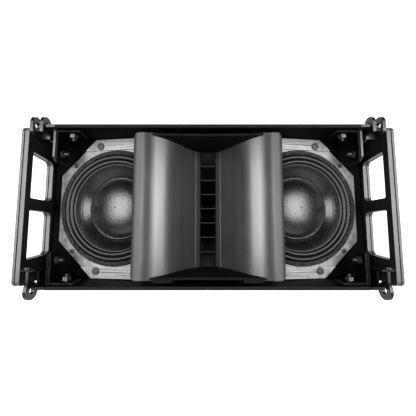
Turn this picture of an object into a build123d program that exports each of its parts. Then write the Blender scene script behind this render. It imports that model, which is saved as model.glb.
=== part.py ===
from build123d import *
import math
import os

# Dual 10-inch line-array loudspeaker element with a wide central horn and side rigging plates.
# Working frame: X across, Y back from the front edge of the panels, Z up from mid-height, mm.
# Everything is moved at export so that the row origin is the middle of the upper front pin axis.

# ---- driving dimensions -------------------------------------------------
TAPER = 5.0                 # slope of the top and of the bottom panel, degrees
H_FRONT = 314.0             # height over the panels at the front
W_OVER = 711.0              # width over the side plates
Y_BACK = 385.0              # rear face of the back panel
T_PANEL = 6.5               # top and bottom panels
PLY = 12.0                  # inner plywood
X_CAB = 340.0               # half width of the plywood cabinet, the side plates' inner face
PLATE_IN, PLATE_GAP, PLATE_OUT = 7.5, 2.0, 6.0   # side plate layers, 15.5 in all
PLATE_FRONT, PLATE_REAR = -7.0, 391.0
PIN_Y, PIN_Z = 6.0, 156.0   # upper front pin axis
LINK_Z = -159.0             # eye of the lower front link
PIN_R = 6.05                # holes for a 12 mm pin
EAR_R = 13.0
LINK_R = 16.5
LINK_STEM_R = 4.0
WOOFER_X, WOOFER_Y, TOE = 194.0, 50.0, 8.0       # woofer centre and outward toe, degrees
FRAME_U, FRAME_V, FRAME_FLAT = 123.0, 145.0, 70.0  # octagonal frame half sizes
CONE_R, CAP_R, SURR_R, GASKET_R = 92.0, 65.0, 111.0, 121.0
COIL_R = 32.0
HORN_X, HORN_Z = 145.0, 140.0                    # half width and half height of the horn mouth
SLOT_X, SLOT_Y, SLOT_Z = 17.0, 77.0, 125.0       # horn throat slot
FIN_PITCH, FIN_T = 31.25, 2.4
REAR_PIN_Y, REAR_PIN_Z = 376.0, 94.0

T5 = math.tan(math.radians(TAPER))
HF = H_FRONT / 2
os.makedirs("parts", exist_ok=True)
SHIFT = Pos(0, -PIN_Y, -PIN_Z)


def top(y):
    return HF - y * T5


def under(y):
    return HF - T_PANEL - y * T5


def solids_of(shape):
    if isinstance(shape, (list, tuple)):
        return [s for x in shape for s in solids_of(x)]
    return list(shape.solids())


def out(name, shape):
    parts = [SHIFT * s for s in solids_of(shape)]
    body = parts[0] if len(parts) == 1 else Compound(children=parts)
    body.label = name
    export_step(body, f"parts/{name}.step")


def box(x0, x1, y0, y1, z0, z1):
    return Pos((x0 + x1) / 2, (y0 + y1) / 2, (z0 + z1) / 2) * Box(x1 - x0, y1 - y0, z1 - z0)


def prism_x(pts, x0, x1):
    """Polygon of (y, z) points extruded from x0 to x1."""
    return Pos(x0, 0, 0) * extrude(Plane.YZ * Polygon(*pts, align=None), x1 - x0, dir=(1, 0, 0))


def prism_y(pts, y0, y1):
    """Polygon of (x, z) points extruded from y0 to y1."""
    return Pos(0, y0, 0) * extrude(Plane.XZ * Polygon(*pts, align=None), y1 - y0, dir=(0, 1, 0))


def prism_z(pts, z0, z1):
    """Polygon of (x, y) points extruded from z0 to z1."""
    return Pos(0, 0, z0) * extrude(Plane.XY * Polygon(*pts, align=None), z1 - z0, dir=(0, 0, 1))


def rod_x(x0, x1, y, z, r):
    return Pos((x0 + x1) / 2, y, z) * Rot(0, 90, 0) * Cylinder(r, abs(x1 - x0))


def rod_y(y0, y1, x, z, r):
    return Pos(x, (y0 + y1) / 2, z) * Rot(90, 0, 0) * Cylinder(r, abs(y1 - y0))


def rod_z(z0, z1, x, y, r):
    return Pos(x, y, (z0 + z1) / 2) * Cylinder(r, abs(z1 - z0))


def hexa(r):
    return [(r * math.cos(math.radians(60 * k)), r * math.sin(math.radians(60 * k))) for k in range(6)]


def hex_x(x0, x1, y, z, r):
    return prism_x([(y + a, z + b) for a, b in hexa(r)], x0, x1)


def hex_z(z0, z1, x, y, r):
    return prism_z([(x + a, y + b) for a, b in hexa(r)], z0, z1)


def ring(pts):
    """Closed (r, z) polygon revolved about the local Z axis."""
    return revolve(Plane.XZ * Polygon(*pts, align=None), axis=Axis.Z)


def mirrored(shape, plane):
    m = [s.mirror(plane) for s in solids_of(shape)]
    return m[0] if len(m) == 1 else Compound(children=m)


def mir(shape):
    return mirrored(shape, Plane.YZ)


def both(shape):
    return [shape, mir(shape)]


def flip(shape):
    return mirrored(shape, Plane.XY)


# ---- space between the two tapered panels ---------------------------------
inside = prism_x([(-60, under(-60)), (Y_BACK, under(Y_BACK)), (Y_BACK, -under(Y_BACK)), (-60, -under(-60))], -X_CAB, X_CAB)

# ---- top and bottom panels -------------------------------------------------
panel = prism_x([(0, top(0)), (Y_BACK, top(Y_BACK)), (Y_BACK, under(Y_BACK)), (0, under(0))], -X_CAB, X_CAB)
REAR_X, REAR_Y = 306.0, 350.0     # rear rigging recess
for s in (-1, 1):
    a, b = sorted((s * 296.0, s * (X_CAB + 1)))
    panel -= box(a, b, -1, 45, 100, 200)
    a, b = sorted((s * REAR_X, s * (X_CAB + 1)))
    panel -= box(a, b, REAR_Y, Y_BACK + 1, 80, 200)
    panel -= rod_z(under(22) - 5, under(22) + 6, s * 270, 22, 4.05)
out("top_panel", panel)
out("bottom_panel", flip(panel))

# ---- plywood cabinet -------------------------------------------------------
CH = 66.0                          # half width of the centre chamber
wall = box(-X_CAB, -X_CAB + 15, 95, 338, -200, 200)
wall += box(-X_CAB, -REAR_X + PLY, 338, REAR_Y, -200, 200)
wall += box(-REAR_X, -REAR_X + PLY, REAR_Y - 1, Y_BACK, -200, 200)
wall = wall & inside
out("side_walls", both(wall))

back = box(-REAR_X + PLY, REAR_X - PLY, Y_BACK - PLY, Y_BACK, -200, 200) & inside
back -= box(-62, 62, Y_BACK - PLY - 1, Y_BACK + 1, -42, 42)
for x in (-75, 75):
    for z in (-50, 50):
        back -= rod_y(Y_BACK - 9, Y_BACK + 1, x, z, 2.05)
out("back_panel", back)

chamber = box(-CH - 9, -CH, 44, Y_BACK - PLY, -200, 200) & inside
out("chamber_walls", both(chamber))

# ---- side plates with the two window openings -------------------------------
P0, P1 = PLATE_FRONT, PLATE_REAR


def edge(y, inset):
    return HF - inset - max(y, 0) * T5


def window(y0, y1, zf0, zr0, zf1, zr1, r):
    """Opening between two heights at its front and rear ends, (y, z) face with rounded corners."""
    w = Polygon((y0, zf0), (y1, zr0), (y1, zr1), (y0, zf1), align=None)
    rear = w.vertices().filter_by(lambda v: v.X > y1 - 1)
    front = w.vertices().filter_by(lambda v: v.X < y0 + 1)
    w = fillet(rear, r)
    front = w.vertices().filter_by(lambda v: v.X < y0 + 1e-3)
    return fillet(front, 3.0)


def plate_profile(grow):
    """Side plate outline in (y, z), with its windows; grow trims the outline for the bevelled outer face."""
    g = grow
    pts = [(P0 + g, 149.5 - g), (10, 149.5 - g), (P1 - g, edge(P1, 6.5) - g), (P1 - g, -edge(P1, 6.5) + g), (10, -149.5 + g), (P0 + g, -149.5 + g)]
    f = Polygon(*pts, align=None)
    f = fillet(f.vertices().filter_by(lambda v: v.X < P0 + g + 1), 9.0)
    f = fillet(f.vertices().filter_by(lambda v: v.X > P1 - g - 1), 12.0)
    upper = window(8 - g, 72 + g, 14 - g, 14.5 - g, 105 + g, 99 + g, 10.0)
    lower = window(8 - g, 72 + g, -103 - g, -97 - g, -9 + g, -9.5 + g, 10.0)
    return f - upper - lower


def plate(x0, x1, bevel):
    """Plate between x0 and x1 (negative side) with its outer edges bevelled towards x0."""
    base = Pos(x0, 0, 0) * extrude(Plane.YZ * plate_profile(0), x1 - x0, dir=(1, 0, 0))
    if bevel:
        base = base.chamfer(bevel, None, base.faces().sort_by(Axis.X)[0].edges())
    return base


def cut_rear(shape):
    shape -= rod_x(-360, -339, REAR_PIN_Y, REAR_PIN_Z, 14.0)
    return shape


x = -X_CAB
inner = cut_rear(plate(x - PLATE_IN, x, 0))
damp = Pos(x - PLATE_IN - PLATE_GAP, 0, 0) * extrude(Plane.YZ * offset(plate_profile(0), -1.6, kind=Kind.INTERSECTION), PLATE_GAP, dir=(1, 0, 0))
damp = cut_rear(damp)
xo = x - PLATE_IN - PLATE_GAP
outer = cut_rear(plate(xo - PLATE_OUT, xo, 2.0))
# screws through the three layers into the wall
SCREWS = [(120, 118), (120, 0), (120, -118), (230, 108), (230, 0), (230, -108), (320, 98), (320, 0), (320, -98)]
FRONT_SCREWS = [(3.0, 118), (3.0, 128), (20.0, -112)]
screw_solids = []
for (y, z) in SCREWS:
    hole = rod_x(xo - PLATE_OUT - 1, x, y, z, 4.1)
    sink = Pos(xo - PLATE_OUT + 2, y, z) * Rot(0, 90, 0) * Cone(8.2, 4.1, 4)
    outer -= sink + hole
    damp -= hole
    inner -= hole
    s = rod_x(xo - PLATE_OUT + 0.3, x + 0, y, z, 4.0) + (Pos(xo - PLATE_OUT + 2, y, z) * Rot(0, 90, 0) * Cone(7.7, 4.0, 3.6))
    s -= hex_x(xo - PLATE_OUT - 1, xo - PLATE_OUT + 2.6, y, z, 2.6)
    screw_solids += both(s)
front_solids = []
for (y, z) in FRONT_SCREWS:
    h = rod_x(x, x + 2.6, y, z, 4.2)
    h = fillet(h.edges().filter_by(GeomType.CIRCLE).sort_by(Axis.X)[-1], 1.6)
    front_solids += both(h)
out("side_plates_inner", both(inner))
out("damping_layers", both(damp))
out("side_plates_outer", both(outer))
out("side_plate_screws", screw_solids)

# ---- front upper clevis -----------------------------------------------------
ear_pts = Plane.YZ * (Pos(PIN_Y, 153.0) * SlotOverall(40, 2 * EAR_R, rotation=90))
ear_out = Pos(-340, 0, 0) * extrude(ear_pts, 6, dir=(1, 0, 0))
ear_in = Pos(-321, 0, 0) * extrude(ear_pts, 6, dir=(1, 0, 0))
FL_Y0, FL_Y1 = -2.0, 45.0
flange = prism_x([(FL_Y0, top(FL_Y0) - 1), (FL_Y1, top(FL_Y1) - 1), (FL_Y1, under(FL_Y1)), (FL_Y0, under(FL_Y0))], -321, -296)
post = prism_x([(10, under(10) + 1), (45, under(45) + 1), (45, 88), (18, 88), (10, 96)], -304, -300)
web = box(-340, -315, PIN_Y + EAR_R - 3, PIN_Y + EAR_R + 3, 133, 150)
ear_in = ear_in - box(-330, -300, -60, 60, 100, 140)
clevis = ear_out + ear_in + flange + post + web
clevis -= rod_x(-345, -310, PIN_Y, PIN_Z, PIN_R)
clevis -= rod_x(-309, -295, 26, 105, 4.05)
out("front_clevis_left", clevis)
out("front_clevis_right", mir(clevis))

# ---- front lower link and its guide -------------------------------------------
SHELF_T = 4.0
SHELF_Z = -119.0
STEM_X, STEM_Y = -330.0, 0.0
lflange = flip(flange)
lpost = flip(post)
shelf = box(-340, -315, -6.5, 30, SHELF_Z - SHELF_T, SHELF_Z)
lcheek = prism_x([(9, -under(9) - 1), (28, -under(28) - 1), (28, SHELF_Z - 1), (9, SHELF_Z - 1)], -319, -315)
guide = lflange + lpost + shelf + lcheek
guide -= rod_z(SHELF_Z - 10, SHELF_Z + 10, STEM_X, STEM_Y, LINK_STEM_R + 0.35)
guide -= rod_x(-309, -295, 26, -105, 4.05)
out("link_guides", both(guide))

LX0, LX1 = -330.5, -324.5
eye = rod_x(LX0, LX1, PIN_Y, LINK_Z, LINK_R)
neck = prism_x([(-4.5, -143), (4.5, -143), (12, -146.5), (19, -152), (12, -160), (-9, -160), (-9, -151), (-7, -146)], LX0, LX1)
stem = rod_z(-148, SHELF_Z + 1, STEM_X + 0.0, STEM_Y, LINK_STEM_R)
cap = rod_z(SHELF_Z + 0.05, SHELF_Z + 3.5, STEM_X, STEM_Y, 7.5)
link = eye + neck + (stem & box(LX0 - 5, LX1 + 5, -20, 20, -144, SHELF_Z + 1)) + cap
stem_low = stem & box(LX0, LX1, -20, 20, -149, -143)
link += stem_low
link -= rod_x(LX0 - 1, LX1 + 1, PIN_Y, LINK_Z, PIN_R)
out("front_link_left", link)
out("front_link_right", mir(link))

# ---- corner brackets and their bolts -------------------------------------------
BY0, BY1 = 11.0, 45.0
leg_h = prism_x([(BY0, under(BY0)), (BY1, under(BY1)), (BY1, under(BY1) - 4), (BY0, under(BY0) - 4)], -300, -254)
leg_v = prism_x([(BY0, under(BY0)), (BY1, under(BY1)), (BY1, 91), (BY0, 91)], -300, -296)
gus = prism_y([(-297, under(BY1) - 3), (-280, under(BY1) - 3), (-297, 125)], 41, 45)
brk = leg_h + leg_v + gus
brk -= rod_z(100, 160, -270, 22, 4.05)
brk -= rod_x(-309, -290, 26, 105, 4.05)
stud = rod_z(under(22) + 5.5, under(22) - 18, -270, 22, 4.0)
z0 = under(26) - 5.0
nut = hex_z(z0 - 7, z0 - 0.0, -270, 22, 8.0)
bolt = rod_x(-304, -281, 26, 105, 4.0) + hex_x(-309, -304, 26, 105, 7.5) + hex_x(-296, -289.5, 26, 105, 7.5)
quad = []
for s in (brk,):
    quad += [s, mir(s), flip(s), mir(flip(s))]
out("corner_brackets", quad)
fast = []
for s in (stud + nut, bolt):
    fast += [s, mir(s), flip(s), mir(flip(s))]
out("bracket_bolts", fast)

# ---- woofers: local frame with x inboard, y up and z along the axis to the front ----
ct, st = math.cos(math.radians(TOE)), math.sin(math.radians(TOE))
W = Plane(origin=(-WOOFER_X, WOOFER_Y, 0), x_dir=(ct, -st, 0), z_dir=(-st, -ct, 0))


def left(shape):
    m = [W.location * s for s in solids_of(shape)]
    return m[0] if len(m) == 1 else Compound(children=m)


def octagon(g, vmax):
    """Octagon outline grown by g, cut off at the height vmax."""
    u, f = FRAME_U + g, FRAME_FLAT + g * 0.41
    k = (FRAME_U - 68.0) / (123.0 - FRAME_FLAT)
    ut = u - (vmax - f) * k
    return [(u, -f), (u, f), (ut, vmax), (-ut, vmax), (-u, f), (-u, -f), (-ut, -vmax), (ut, -vmax)]


PLATE_T = 6.0
frame = Pos(0, 0, -PLATE_T) * extrude(Polygon(*octagon(0, FRAME_V - 1), align=None), PLATE_T, dir=(0, 0, 1))
frame -= Pos(0, 0, -PLATE_T) * Cylinder(SURR_R + 0.4, 40)
frame -= Pos(0, 0, -2.7 + 10) * Cylinder(GASKET_R + 0.3, 20)
# ledge that carries the surround, basket skirt, spokes and magnet seat
basket = ring([(105.5, -6), (105.5, -3.6), (GASKET_R - 8.0 + 1.4, -3.6), (GASKET_R - 8.0 + 1.4, -10), (112.0, -10), (109.5, -16), (107.0, -16)])
seat = ring([(46, -77), (46, -72.5), (66, -69), (72, -60), (72, -57), (75, -57), (75, -77)])
basket += seat
for k in range(6):
    a = 60 * k + 30
    spoke = prism_y([(108, -6.5), (112.5, -6.5), (112.5, -14), (76, -70), (72, -70), (72, -62)], -6, 6)
    basket += Rot(0, 0, a) * spoke
frame += basket
for a in (45, 135, 225, 315):
    frame -= Pos(128 * math.cos(math.radians(a)), 128 * math.sin(math.radians(a)), 0) * Cylinder(2.6, 40)
for v in (-130, 130):
    for u in (-34, 88):
        frame -= Pos(u, v, 0) * Cylinder(3.1, 40)
out("woofer_frames", both(left(frame)))

ADP_T = 4.0
adp = Pos(0, 0, -PLATE_T - ADP_T) * extrude(Polygon(*octagon(2.6, FRAME_V - 3.5), align=None), ADP_T, dir=(0, 0, 1))
adp -= Cylinder(116.0, 60)
for a in (45, 135, 225, 315):
    adp -= Pos(128 * math.cos(math.radians(a)), 128 * math.sin(math.radians(a)), 0) * Cylinder(2.6, 60)
for v in (-130, 130):
    for u in (-34, 88):
        adp -= Pos(u, v, 0) * Cylinder(3.1, 60)
out("woofer_adapters", both(left(adp)))

gasket = ring([(112.2, -1.95), (GASKET_R, -1.95), (GASKET_R, 0.8), (119.6, 1.8), (113.6, 1.8), (112.2, 0.6)])
out("woofer_gaskets", both(left(gasket)))

# surround with two half rolls, a deforming node
def roll(r0, r1, z0, h, t, n=10):
    c, w = (r0 + r1) / 2, (r1 - r0) / 2
    o = [(c - w * math.cos(math.pi * i / n), z0 + h * math.sin(math.pi * i / n)) for i in range(n + 1)]
    return o


S0 = -2.0
mid = (CONE_R + SURR_R) / 2
top_line = [(CONE_R - 3, S0)] + roll(CONE_R, mid, S0, 6.2, 1) + roll(mid, SURR_R, S0, 6.2, 1)[1:] + [(118.0, S0)]
bot_line = [(r, z - 0.65) for r, z in top_line]
surround = ring(top_line + bot_line[::-1])
for sfx, f in (("left", lambda s: s), ("right", mir)):
    out(f"woofer_surround_{sfx}", f(left(surround)))

# cone, dust cap and voice coil
CZ0, CZ1 = -3.75, -48.0


def cone_z(r):
    t = (r - COIL_R) / (CONE_R - COIL_R)
    return CZ1 + (CZ0 - CZ1) * t ** 0.85


cone_top = [(r, cone_z(r)) for r in (COIL_R + 0.2, 40, 50, 60, 70, 80, CONE_R - 2)] + [(CONE_R, CZ0)]
cone = ring(cone_top + [(r, z - 1.3) for r, z in cone_top[::-1]])
cap_h = 21.0
zc = cone_z(CAP_R) + 0.15
cap_top = [(0, zc + cap_h)] + [(CAP_R * math.sin(math.radians(a)), zc + cap_h * math.cos(math.radians(a))) for a in (10, 20, 30, 40, 50, 60, 70, 80)] + [(CAP_R, zc)]
cap_bot = [(r * 0.985, z - 1.1) for r, z in cap_top[::-1] if r < CAP_R - 0.5]
cap_bot = [(CAP_R - 1.2, zc - 0.0)] + [(r, z) for r, z in cap_bot if z > zc]
cap_bot[-1] = (0, zc + cap_h - 1.1)
dust = ring(cap_top + cap_bot)
coil = ring([(COIL_R - 0.8, -86), (COIL_R, -86), (COIL_R, -49.5), (COIL_R + 0.18, -49.2), (COIL_R + 0.18, CZ1 + 0.1), (COIL_R - 0.8, CZ1 + 0.1)])
for sfx, f in (("left", lambda s: s), ("right", mir)):
    out(f"woofer_cone_{sfx}", f(left(cone)))
    out(f"dust_cap_{sfx}", f(left(dust)))
    out(f"voice_coil_{sfx}", f(left(coil)))

# corrugated spider, a deforming node
sp = [(COIL_R + 0.25, -57.0), (36, -57.0)]
r = 36.0
up = True
while r < 66:
    r += 3.0
    sp.append((r, -55.2 if up else -58.0))
    up = not up
sp += [(70.5, -56.7), (74.0, -56.7)]
spider = ring(sp + [(a, b - 0.5) for a, b in sp[::-1]])
spider = spider & Pos(0, 0, -55) * Cylinder(74.0, 40)
out("woofer_spiders", both(left(Pos(0, 0, 0.3) * spider)))

# motor: top plate, magnet ring, yoke with pole
tplate = ring([(33.4, -85), (33.4, -77), (70, -77), (70, -85)])
magnet = ring([(48, -103), (48, -85), (72, -85), (72, -103)])
yoke = ring([(8, -111), (8, -74), (25, -74), (30, -76), (30, -101), (44, -103), (70, -103), (70, -109), (68, -111)])
out("woofer_top_plates", both(left(tplate)))
out("woofer_magnets", both(left(magnet)))
out("woofer_yokes", both(left(yoke)))

# clamp bars over the top and bottom of each frame, with their pan screws, and the four frame screws
kk = (FRAME_U - 68.0) / (123.0 - FRAME_FLAT)


def u_at(v):
    return FRAME_U - (v - FRAME_FLAT) * kk


VB0, VB1 = 121.8, FRAME_V
bar = Pos(0, 0, 0) * extrude(Polygon((-u_at(VB0), VB0), (104, VB0), (104, VB1), (-u_at(VB1), VB1), align=None), 3.0, dir=(0, 0, 1))
bar = bar.moved(Location((0, 0, 0.0)))
for u in (-34, 88):
    bar -= Pos(u, 130, 0) * Cylinder(3.1, 20)
bar_local = bar - (Pos(0, 0, 0) * Cylinder(GASKET_R + 0.3, 20))
bars = [left(bar_local), left(mirrored(bar_local, Plane.XZ))]
out("clamp_bars", bars + [mir(b) for b in bars])


def pan(rh, hh, rs, ls, cross):
    s = Cylinder(rh, hh, align=(Align.CENTER, Align.CENTER, Align.MIN))
    s = fillet(s.edges().filter_by(GeomType.CIRCLE).sort_by(Axis.Z)[-1], hh * 0.62)
    s -= Pos(0, 0, hh) * Box(rh * 1.15, rh * 0.2, hh * 0.9)
    if cross:
        s -= Pos(0, 0, hh) * Box(rh * 0.2, rh * 1.15, hh * 0.9)
    s += Pos(0, 0, -ls) * Cylinder(rs, ls + 0.1, align=(Align.CENTER, Align.CENTER, Align.MIN))
    return s


cs = []
for v in (-130, 130):
    for u, turn in ((-34, 60 if v > 0 else 35), (88, 15)):
        q = left(Pos(u, v, 3.0) * Rot(0, 0, turn) * pan(7.5, 3.6, 3.0, 18.0, False))
        cs += both(q)
out("clamp_screws", cs)
fs = []
for a in (45, 135, 225, 315):
    q = left(Pos(128 * math.cos(math.radians(a)), 128 * math.sin(math.radians(a)), 0) * Rot(0, 0, a) * pan(4.4, 2.6, 2.5, 20.0, True))
    fs += both(q)
out("frame_screws", fs)

# baffles behind the adapter plates
BF = 12.0
ZB = -PLATE_T - ADP_T
slab = Pos(-40, 0, ZB - BF / 2) * Box(320, 400, BF)
slab -= Pos(0, 0, ZB) * Cylinder(116.5, 60)
for a in (45, 135, 225, 315):
    slab -= Pos(128 * math.cos(math.radians(a)), 128 * math.sin(math.radians(a)), 0) * Cylinder(2.6, 80)
for v in (-130, 130):
    for u in (-34, 88):
        slab -= Pos(u, v, 0) * Cylinder(3.1, 80)
region = prism_x([(-60, under(-60)), (Y_BACK, under(Y_BACK)), (Y_BACK, -under(Y_BACK)), (-60, -under(-60))], -X_CAB + 0.0, -CH - 9)
baffle = left(slab) & region
baffle -= box(-X_CAB - 1, -X_CAB + 15, 95, 200, -200, 200)
out("baffles", both(baffle))

# ---- horn --------------------------------------------------------------------------
HT = 4.0
# front curve of one cheek from the lip to the throat, (|x|, y)
lip = [(145.0, 26), (145.0, 11.5), (143.8, 5.6), (140.1, 1.4), (134.0, -0.8), (124.0, -1.4), (113.0, -0.2), (104.0, 2.0), (97.0, 4.6), (90.0, 8.0)]
JOIN = (50.0, 40.5)                 # where the flare meets the throat piece
TH_S = (SLOT_Y - JOIN[1]) / (JOIN[0] - SLOT_X)     # slope of the throat piece


def offset_curve(pts, d):
    """Points moved by d to the rear side of an (x, y) polyline running from lip to throat."""
    o = []
    for i, p in enumerate(pts):
        a = pts[max(i - 1, 0)]
        b = pts[min(i + 1, len(pts) - 1)]
        tx, ty = b[0] - a[0], b[1] - a[1]
        n = math.hypot(tx, ty)
        o.append((p[0] + d * ty / n * (1 if True else 0), p[1] - d * tx / n))
    return o


def cheek_face(front_pts, rear_pts, curved):
    """Face between a front and a rear line; both run from the lip inwards."""
    if curved:
        f = Spline(*front_pts[1:])
        r = Spline(*rear_pts[1:])
        w = Wire([Line(front_pts[0], front_pts[1]), f, Line(front_pts[-1], rear_pts[-1]), r, Line(rear_pts[1], rear_pts[0]), Line(rear_pts[0], front_pts[0])])
        return make_face(w)
    return make_face(Polyline(*front_pts, *rear_pts[::-1], close=True))


front_line = lip + [(82.0, 12.5), (74.0, 17.9), (66.0, 24.3), (58.0, 31.9), JOIN]
rear_line = offset_curve(front_line, HT)
# lip return runs straight back, so its rear line is the same line moved inwards
rear_line[0] = (front_line[0][0] - HT, front_line[0][1])
rear_line[1] = (front_line[1][0] - HT, front_line[1][1])
rear_line[2] = (140.1, 7.6)
rear_line[3] = (137.6, 4.9)
rear_line[4] = (133.2, 3.1)
off_x = HT * TH_S / math.hypot(1, TH_S)
off_y = HT / math.hypot(1, TH_S)
rear_line[-1] = (JOIN[0] + off_x, JOIN[1] + off_y)
cheek2d = cheek_face(front_line, rear_line, True)
cheek = Pos(0, 0, -HORN_Z) * extrude(cheek2d, 2 * HORN_Z, dir=(0, 0, 1))
cheek_r = cheek
cheek_l = mir(cheek)
# mouth corners rounded in front view
corner = prism_y([(HORN_X - 11, HORN_Z + 1), (HORN_X + 1, HORN_Z + 1), (HORN_X + 1, HORN_Z - 11)], -20, 60)
soft = box(HORN_X - 11, HORN_X + 1, -20, 60, HORN_Z - 11, HORN_Z + 1) - rod_y(-20, 60, HORN_X - 11, HORN_Z - 11, 11.0)
for m in (soft, flip(soft)):
    cheek_r -= m
    cheek_l -= mir(m)
out("horn_flare_left", cheek_l)
out("horn_flare_right", cheek_r)

# the throat piece lies 1 mm behind the flare's end, with a second small step beside the slot
STEP = 1.0
sx, sy = STEP * off_x / HT, STEP * off_y / HT
STEP_X = 26.0
step_y = JOIN[1] + (JOIN[0] - STEP_X) * TH_S
tp_front = [(JOIN[0] + sx, JOIN[1] + sy), (STEP_X + sx, step_y + sy), (STEP_X, step_y), (SLOT_X, SLOT_Y)]
tp_rear = [(JOIN[0] + off_x, JOIN[1] + off_y), (SLOT_X + off_x + off_y / TH_S, SLOT_Y)]
tpiece = Pos(0, 0, -SLOT_Z - 6) * extrude(cheek_face(tp_front, tp_rear, False), 2 * (SLOT_Z + 6), dir=(0, 0, 1))
out("throat_cheeks", both(tpiece))

# upper and lower walls of the horn between the cheeks, flaring from the throat, with a nearly straight front edge
END_IN = [(0.8, 135.0), (4.0, 133.6), (9.0, 132.0), (20.0, 129.3), (32.0, 127.2), (44.0, 125.9), (60.0, 125.3), (SLOT_Y, SLOT_Z)]
END_OUT = [(y, z + HT) for y, z in END_IN[2:]]
end2d = prism_x([*END_IN, *END_OUT[::-1], (4.0, 138.4), (0.8, 139.4)], -112, 112)
zone = Pos(0, 0, 100) * extrude(Polygon(*[(-112 + 224 * i / 24, 0.8 + 1.8 * math.cos(math.pi * (-112 + 224 * i / 24) / 224)) for i in range(25)], (112.0, 90.0), (-112.0, 90.0), align=None), 60, dir=(0, 0, 1))
inner = [(p[0], p[1]) for p in front_line[6:-1]] + [JOIN, *tp_front]
vee = Pos(0, 0, 100) * extrude(Polygon((112, -0.1), *inner[1:], *[(-a, b) for a, b in inner[1:][::-1]], (-112, -0.1), align=None), 60, dir=(0, 0, 1))
end_top = (end2d & zone) & vee
end_top -= both(cheek)[0]
end_top -= mir(cheek)
end_top = solids_of(end_top)
end_top = max(end_top, key=lambda q: q.volume)
end_bot = flip(end_top)
# two tabs under the lower wall hold the horn to the bottom panel
tab = box(66, 103, 0.9, 12, -144.5, -HORN_Z - 0.2) + box(66, 103, 0.9, 1.9, -144.5, -138.7)
end_bot = end_bot + tab + mir(tab)
out("horn_end_walls", [end_top, end_bot])

mount = box(-CH, CH, SLOT_Y, SLOT_Y + 6, -200, 200) & inside
mount -= box(-SLOT_X, SLOT_X, 0, 200, -SLOT_Z, SLOT_Z)
out("horn_mounting_plate", mount)

fins = []
for k in range(-3, 4):
    fins.append(box(-SLOT_X, SLOT_X, SLOT_Y + 0.5, SLOT_Y + 26, k * FIN_PITCH - FIN_T / 2, k * FIN_PITCH + FIN_T / 2))
out("aperture_fins", fins)

# waveguide between the driver and the slot
WY0, WY1 = SLOT_Y + 6, 172.0


def rect_y(y, a, b):
    return Plane(origin=(0, y, 0), x_dir=(1, 0, 0), z_dir=(0, 1, 0)) * Rectangle(2 * a, 2 * b)


wg = loft([rect_y(WY0, 30, 131), rect_y(WY1, 40, 44)])
wg -= loft([rect_y(WY0 - 0.01, SLOT_X, SLOT_Z), rect_y(WY1 + 0.01, 17.9, 17.9)])
out("waveguide_body", wg)

# ---- compression driver, axis along Y --------------------------------------------------
def ring_y(pts, y0):
    """(r, y) polygon revolved about the driver axis, y measured back from y0."""
    return Pos(0, y0, 0) * Rot(-90, 0, 0) * ring(pts)


D0 = WY1
adapter = ring_y([(18, 0), (58, 0), (58, 8), (40, 10), (40, 16), (21, 16)], D0)
out("driver_throat_plate", adapter)
motor = ring_y([(21, 16), (60, 16), (60, 52), (26.3, 52), (26.3, 34)], D0)
out("driver_magnet", motor)
plug = ring_y([(0, 34), (12, 38), (25.8, 50), (25.8, 52), (24, 55), (16, 61.0), (8, 64.3), (0, 65.5)], D0)
plug = ring_y([(0, 30), (6, 36), (25.9, 50), (25.9, 52), (22, 56.6), (14, 61.2), (7, 63.9), (0, 65.0)], D0)
out("driver_phase_plug", plug)
dia_top = [(0, 68.6), (7, 67.5), (14, 64.9), (22, 60.4), (26.5, 56.2), (31, 54.8), (36, 54.8)]
dia = ring_y(dia_top + [(a, b - 0.5) for a, b in dia_top[::-1]], D0)
out("driver_diaphragm", dia)
cover = ring_y([(37, 52), (60, 52), (60, 70), (52, 84), (0, 88), (0, 84.5), (50, 80.5), (56.5, 69), (56.5, 57), (37, 57)], D0)
out("driver_rear_cover", cover)

# ---- rear rigging: channel, splay bar, stop bolt and lock pin ----------------------------
RZ = 112.0
chan = box(-340, -315, REAR_Y, REAR_Y + 5, -RZ, RZ)
chan += box(-340, -334, REAR_Y, 390, -RZ, RZ) + box(-321, -315, REAR_Y, 390, -RZ, RZ)
chan -= rod_x(-345, -310, REAR_PIN_Y, REAR_PIN_Z, 5.05)
chan -= rod_x(-345, -310, REAR_PIN_Y, -20, 5.0)
out("rear_channels", both(chan))
BX0, BX1 = -332.0, -323.0
bar_f = Plane.YZ * (Pos(REAR_PIN_Y, -82.5) * SlotOverall(165, 24, rotation=90))
sbar = Pos(BX0, 0, 0) * extrude(bar_f, BX1 - BX0, dir=(1, 0, 0))
slot_f = Plane.YZ * (Pos(REAR_PIN_Y, -45.0) * SlotOverall(61.4, 10.8, rotation=90))
sbar -= Pos(BX0 - 1, 0, 0) * extrude(slot_f, 12, dir=(1, 0, 0))
for z in (-95, -112, -129, -150):
    sbar -= rod_x(BX0 - 1, BX1 + 1, REAR_PIN_Y, z, 5.05)
out("splay_bar_left", sbar)
out("splay_bar_right", mir(sbar))
stop = rod_x(-340.0, -312.6, REAR_PIN_Y, -20, 4.95) + hex_x(-315, -309.0 - 1.5, REAR_PIN_Y, -20, 8.5)
stop = rod_x(-340.0, -315, REAR_PIN_Y, -20, 4.95) + hex_x(-315, -309.5, REAR_PIN_Y, -20, 8.5)
out("rear_stop_bolts", both(stop))
pin = rod_x(-346, -316, REAR_PIN_Y, REAR_PIN_Z, 5.0)
knob = rod_x(-354.5, -341.0, REAR_PIN_Y, REAR_PIN_Z, 11.5)
knob = chamfer(knob.edges().filter_by(GeomType.CIRCLE).sort_by(Axis.X)[0], 2.0)
for k in range(12):
    a = math.radians(30 * k)
    knob -= rod_x(-356, -344, REAR_PIN_Y + 12.3 * math.cos(a), REAR_PIN_Z + 12.3 * math.sin(a), 1.6)
out("lock_pin_left", pin + knob)
out("lock_pin_right", mir(pin + knob))

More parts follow.
